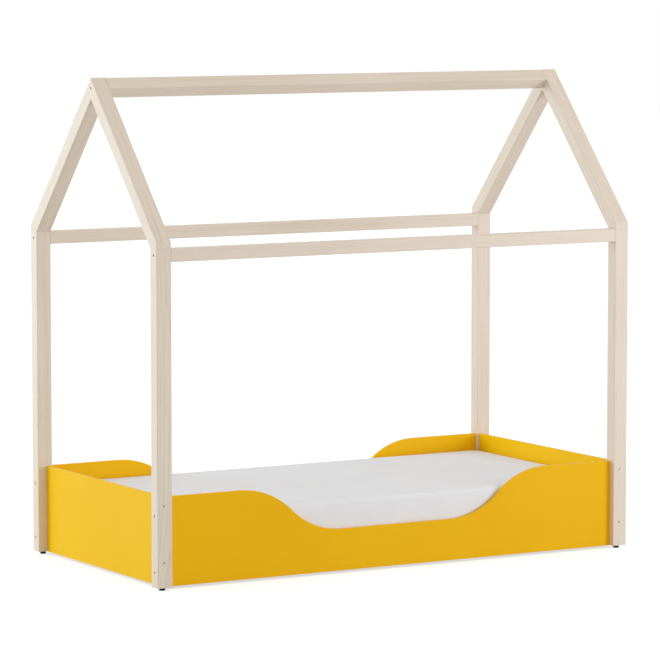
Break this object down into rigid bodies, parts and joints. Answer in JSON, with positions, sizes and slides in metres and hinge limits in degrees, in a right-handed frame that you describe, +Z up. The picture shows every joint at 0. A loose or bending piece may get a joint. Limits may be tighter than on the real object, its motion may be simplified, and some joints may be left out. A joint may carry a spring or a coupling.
{
  "type": "toddler house bed",
  "caption": "House-frame floor bed: four posts and a gabled roof frame round a slatted base, with dipped side panels, straight end panels and a lift-out mattress.",
  "frame": {"origin": "on the floor under the middle of the bed", "axes": "+X along the bed's length, +Y across it towards the back side, +Z up; the front side faces -Y"},
  "size_m": [1.98, 1, 1.7792],
  "materials": {
    "frame_timber": "clear satin lacquer on pale straight-grained timber",
    "panel_lacquer": "satin yellow lacquer on fibreboard",
    "base_timber": "planed, uncoated",
    "glide_plastic": "black moulded",
    "tenon_hardwood": "uncoated",
    "zinc_steel": "zinc plated; for the bolt heads that the visual model adds",
    "sheet_cotton": "white cotton fitted sheet"
  },
  "bodies": {
    "frame": {"post_front_left": "frame_timber", "post_front_right": "frame_timber", "post_back_left": "frame_timber", "post_back_right": "frame_timber", "rafter_front_left": "frame_timber", "rafter_front_right": "frame_timber", "rafter_back_left": "frame_timber", "rafter_back_right": "frame_timber", "ridge_beam": "frame_timber", "eave_beam_front": "frame_timber", "eave_beam_back": "frame_timber", "side_panel_front": "panel_lacquer", "side_panel_back": "panel_lacquer", "end_panel_left": "panel_lacquer", "end_panel_right": "panel_lacquer", "side_ledge_front": "base_timber", "side_ledge_back": "base_timber", "end_ledge_left": "base_timber", "end_ledge_right": "base_timber", "slat_01": "base_timber", "slat_02": "base_timber", "slat_03": "base_timber", "slat_04": "base_timber", "slat_05": "base_timber", "slat_06": "base_timber", "slat_07": "base_timber", "slat_08": "base_timber", "slat_09": "base_timber", "slat_10": "base_timber", "slat_11": "base_timber", "slat_12": "base_timber", "slat_13": "base_timber", "center_rail": "base_timber", "center_leg_1": "base_timber", "center_leg_2": "base_timber", "center_leg_3": "base_timber", "feet": "glide_plastic", "apex_tenon_left": "tenon_hardwood", "apex_tenon_right": "tenon_hardwood"},
    "mattress": {"mattress": "sheet_cotton"}
  },
  "joints": [
    {"name": "mattress_lift", "type": "slide", "parent": "frame", "child": "mattress", "axis": [0, 0, 1], "range_m": [0, 0.25]}
  ]
}
